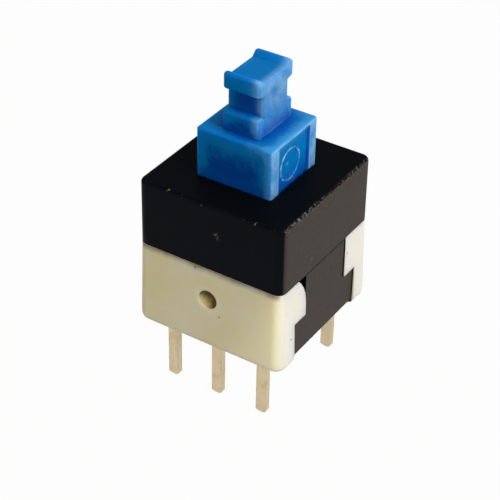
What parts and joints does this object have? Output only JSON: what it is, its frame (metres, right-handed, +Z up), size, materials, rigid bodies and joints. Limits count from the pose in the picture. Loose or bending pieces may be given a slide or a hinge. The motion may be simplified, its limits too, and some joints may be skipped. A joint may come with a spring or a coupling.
{
  "type": "latching push button switch",
  "caption": "Square board-mount push switch: black cover, cream base, sprung blue plunger with a T-shaped cap fitting, heart-cam latch and two rows of solder pins.",
  "frame": {"origin": "centre of the base's underside, on the circuit board's surface", "axes": "+Z up, towards the plunger; the pins of a row run along X; the rows lie at -Y and +Y; the cover's legs are on -X and +X"},
  "size_m": [0.0088, 0.0088, 0.0181],
  "materials": {
    "base_plastic": "moulded cream nylon, faintly translucent",
    "cover_plastic": "moulded black glass-filled nylon",
    "plunger_plastic": "moulded translucent blue acetal",
    "spring_steel": "drawn stainless spring wire",
    "silvered_bronze": "silver-plated bronze sheet",
    "tinned_brass": "thinly tinned brass strip"
  },
  "bodies": {
    "housing": {"base": "base_plastic", "cover": "cover_plastic", "terminal_nc_front": "tinned_brass", "terminal_common_front": "tinned_brass", "terminal_no_front": "tinned_brass", "terminal_nc_rear": "tinned_brass", "terminal_common_rear": "tinned_brass", "terminal_no_rear": "tinned_brass"},
    "plunger": {"plunger": "plunger_plastic", "return_spring": "spring_steel", "contact_spring_front": "silvered_bronze", "contact_spring_rear": "silvered_bronze"},
    "latch_pin": {"latch_pin": "spring_steel"}
  },
  "joints": [
    {"name": "plunger_slide", "type": "slide", "parent": "housing", "child": "plunger", "axis": [0, 0, -1], "range_m": [0, 0.0025], "stiffness_N_per_m": 450, "springref_m": -0.0025, "deforming": ["return_spring"]},
    {"name": "latch_pin_swing", "type": "hinge", "parent": "housing", "child": "latch_pin", "pos_m": [-0.0035, 0, 0.0015], "axis": [-1, 0, 0], "range_deg": [0, 27.5]}
  ],
  "couplings": [
    {"joint": "latch_pin_swing", "follows": "plunger_slide", "rad_per_m": 188.5}
  ]
}
